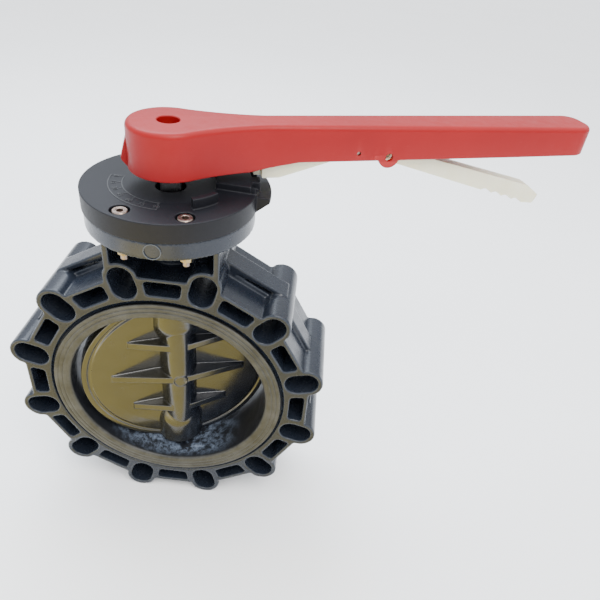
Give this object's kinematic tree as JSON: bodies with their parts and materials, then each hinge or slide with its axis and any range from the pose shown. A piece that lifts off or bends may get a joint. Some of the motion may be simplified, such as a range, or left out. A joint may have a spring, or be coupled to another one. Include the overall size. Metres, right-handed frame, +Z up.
{
  "type": "butterfly valve",
  "caption": "Lug-type plastic butterfly valve with a rubber seat, a ribbed disc on a vertical stem, an index plate and a red lever with a latch trigger.",
  "frame": {"origin": "centre of the bore, halfway between the two flange faces, on the stem's axis", "axes": "+Z up the stem towards the lever, Y along the bore with the front face towards -Y, +X towards the lever's closed position"},
  "size_m": [0.6847, 0.2818, 0.5366],
  "materials": {
    "grey_plastic": "semi-gloss moulded dark grey plastic",
    "black_plastic": "fine-textured black moulded plastic, scuffed at the edge",
    "red_plastic": "satin red moulded plastic with fine scratches",
    "white_plastic": "off-white natural nylon, slightly translucent",
    "liner_rubber": "dusty grey-black rubber",
    "seal_rubber": "black rubber",
    "bearing_plastic": "natural bearing plastic",
    "stem_steel": "turned stainless steel",
    "fastener_steel": "stainless steel with a warm tint",
    "spring_steel": "spring steel",
    "brass": "dull brass"
  },
  "bodies": {
    "body": {"valve_body": "grey_plastic", "seat_liner": "liner_rubber", "upper_bushing": "bearing_plastic", "lower_bushing": "bearing_plastic", "stem_seal_lower": "seal_rubber", "stem_seal_upper": "seal_rubber", "index_plate": "black_plastic", "plate_screw_1": "fastener_steel", "plate_washer_1": "brass", "plate_nut_1": "brass", "plate_screw_2": "fastener_steel", "plate_washer_2": "brass", "plate_nut_2": "brass", "plate_screw_3": "fastener_steel", "plate_washer_3": "brass", "plate_nut_3": "brass", "plate_screw_4": "fastener_steel", "plate_washer_4": "brass", "plate_nut_4": "brass"},
    "lever": {"stem": "stem_steel", "stem_clip": "spring_steel", "disc": "grey_plastic", "disc_seal_lower": "seal_rubber", "disc_seal_upper": "seal_rubber", "handle": "red_plastic", "handle_washer": "fastener_steel", "handle_bolt": "fastener_steel", "pivot_pin": "fastener_steel", "torsion_spring": "spring_steel"},
    "trigger": {"trigger": "white_plastic"}
  },
  "joints": [
    {"name": "lever_turn", "type": "hinge", "parent": "body", "child": "lever", "pos_m": [0, 0, 0], "axis": [0, 0, 1], "range_deg": [-19, 71]},
    {"name": "trigger_squeeze", "type": "hinge", "parent": "lever", "child": "trigger", "pos_m": [0.19478, 0.06707, 0.31], "axis": [0.3256, -0.9455, 0], "range_deg": [0, 4.5], "stiffness_Nm_per_rad": 2, "springref_deg": -20.05}
  ]
}
